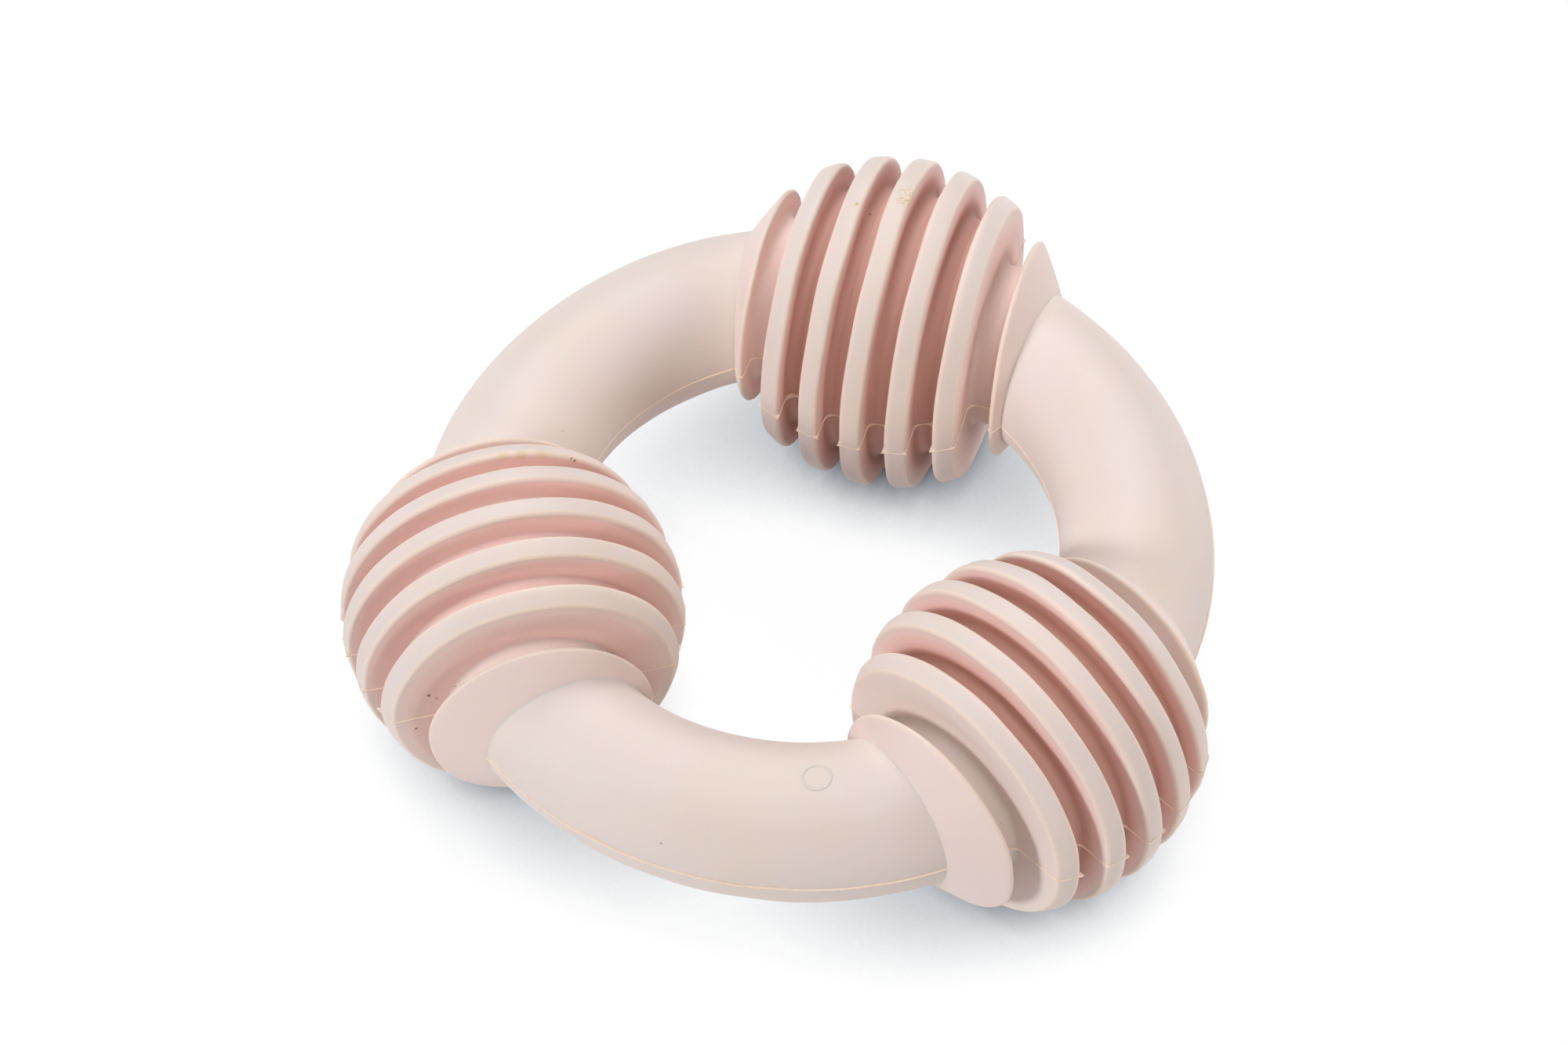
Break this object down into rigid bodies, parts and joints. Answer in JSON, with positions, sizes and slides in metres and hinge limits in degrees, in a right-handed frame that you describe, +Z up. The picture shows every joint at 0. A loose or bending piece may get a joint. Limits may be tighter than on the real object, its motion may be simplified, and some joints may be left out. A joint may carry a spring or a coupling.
{
  "type": "rubber chew toy",
  "caption": "Puppy teething ring of soft rubber: round bent arms alternate with ribbed balls, joined by conical collars.",
  "frame": {"origin": "middle of the ring, on its parting plane half way up, where the centre of mass is", "axes": "+Z up, square to the plane of the ring; +Y through the middle of the back ball; +X to the right seen from above with the back ball at the top"},
  "size_m": [0.1172, 0.1174, 0.0456],
  "materials": {
    "rubber": "matt, as moulded, with a fine grain and a thin parting line"
  },
  "bodies": {
    "root": {"arm_front": "rubber", "arm_left": "rubber", "arm_right": "rubber", "core_back": "rubber", "core_left": "rubber", "core_right": "rubber", "collar_back_left": "rubber", "collar_back_right": "rubber", "collar_left_back": "rubber", "collar_left_front": "rubber", "collar_right_front": "rubber", "collar_right_back": "rubber", "rib_back_1": "rubber", "rib_back_2": "rubber", "rib_back_3": "rubber", "rib_back_4": "rubber", "rib_back_5": "rubber", "rib_left_1": "rubber", "rib_left_2": "rubber", "rib_left_3": "rubber", "rib_left_4": "rubber", "rib_left_5": "rubber", "rib_right_1": "rubber", "rib_right_2": "rubber", "rib_right_3": "rubber", "rib_right_4": "rubber", "rib_right_5": "rubber"}
  },
  "joints": []
}
